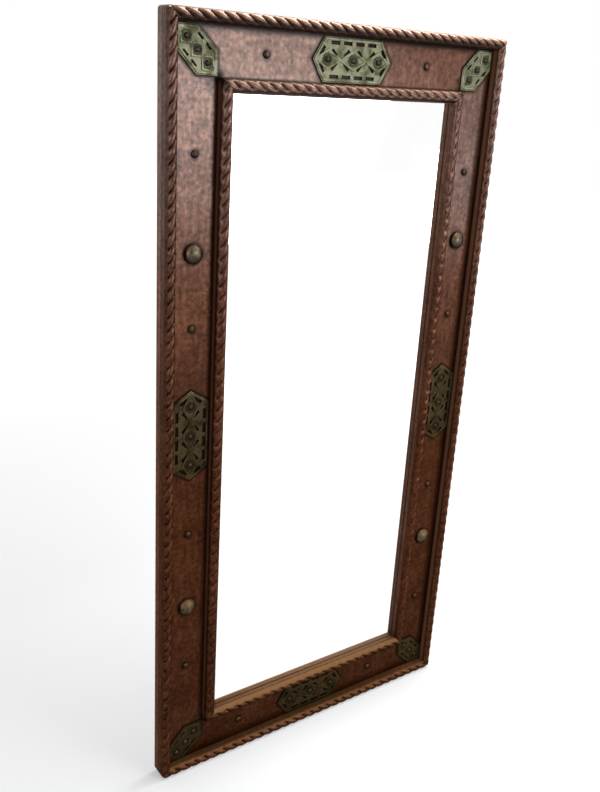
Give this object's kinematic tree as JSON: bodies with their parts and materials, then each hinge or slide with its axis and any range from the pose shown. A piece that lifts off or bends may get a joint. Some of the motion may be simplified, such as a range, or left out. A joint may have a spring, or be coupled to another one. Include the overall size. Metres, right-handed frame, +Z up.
{
  "type": "wall mirror",
  "caption": "Tall rectangular wall mirror in a copper-clad wooden frame, with rope-twist mouldings, pierced brass plaques, dome nails and folding rings to hang it by.",
  "frame": {"origin": "middle of the back panel's rear face, on the wall", "axes": "+X right and +Z up as seen from the front, +Y into the wall"},
  "size_m": [0.6, 0.0368, 1.184],
  "materials": {
    "copper_sheet": "aged satin copper",
    "copper_rope": "aged satin copper",
    "nail_copper": "worn copper",
    "plaque_nail_copper": "worn copper",
    "plaque_brass": "patinated cast brass",
    "boss_brass": "worn brass",
    "core_wood": "sawn softwood",
    "fillet_wood": "sawn softwood",
    "panel_wood": "plain plywood",
    "mirror": "silvered glass",
    "hanger_steel": "plated steel",
    "pin_steel": "bare steel"
  },
  "bodies": {
    "frame": {"back_panel": "panel_wood", "bottom_edge_band": "copper_sheet", "bottom_face_sheet": "copper_sheet", "bottom_glass_fillet": "fillet_wood", "bottom_inner_rope": "copper_rope", "bottom_left_corner_plaque": "plaque_brass", "bottom_outer_rope": "copper_rope", "bottom_plaque": "plaque_brass", "bottom_rail_core": "core_wood", "bottom_reveal_lining": "copper_sheet", "bottom_right_corner_plaque": "plaque_brass", "brass_bosses": "boss_brass", "hanger_screws": "hanger_steel", "left_edge_band": "copper_sheet", "left_face_sheet": "copper_sheet", "left_glass_fillet": "fillet_wood", "left_hanger_strap": "hanger_steel", "left_inner_rope": "copper_rope", "left_outer_rope": "copper_rope", "left_plaque": "plaque_brass", "left_reveal_lining": "copper_sheet", "left_stile_core": "core_wood", "mirror_glass": "mirror", "panel_pins": "pin_steel", "plaque_nails": "plaque_nail_copper", "right_edge_band": "copper_sheet", "right_face_sheet": "copper_sheet", "right_glass_fillet": "fillet_wood", "right_hanger_strap": "hanger_steel", "right_inner_rope": "copper_rope", "right_outer_rope": "copper_rope", "right_plaque": "plaque_brass", "right_reveal_lining": "copper_sheet", "right_stile_core": "core_wood", "small_copper_nails": "nail_copper", "top_edge_band": "copper_sheet", "top_face_sheet": "copper_sheet", "top_glass_fillet": "fillet_wood", "top_inner_rope": "copper_rope", "top_left_corner_plaque": "plaque_brass", "top_outer_rope": "copper_rope", "top_plaque": "plaque_brass", "top_rail_core": "core_wood", "top_reveal_lining": "copper_sheet", "top_right_corner_plaque": "plaque_brass"},
    "left_ring": {"left_hanger_ring": "hanger_steel"},
    "right_ring": {"right_hanger_ring": "hanger_steel"}
  },
  "joints": [
    {"name": "left_ring_hinge", "type": "hinge", "parent": "frame", "child": "left_ring", "pos_m": [-0.267, -0.0032, 0.352], "axis": [1, 0, 0], "range_deg": [0, 180]},
    {"name": "right_ring_hinge", "type": "hinge", "parent": "frame", "child": "right_ring", "pos_m": [0.267, -0.0032, 0.352], "axis": [1, 0, 0], "range_deg": [0, 180]}
  ]
}
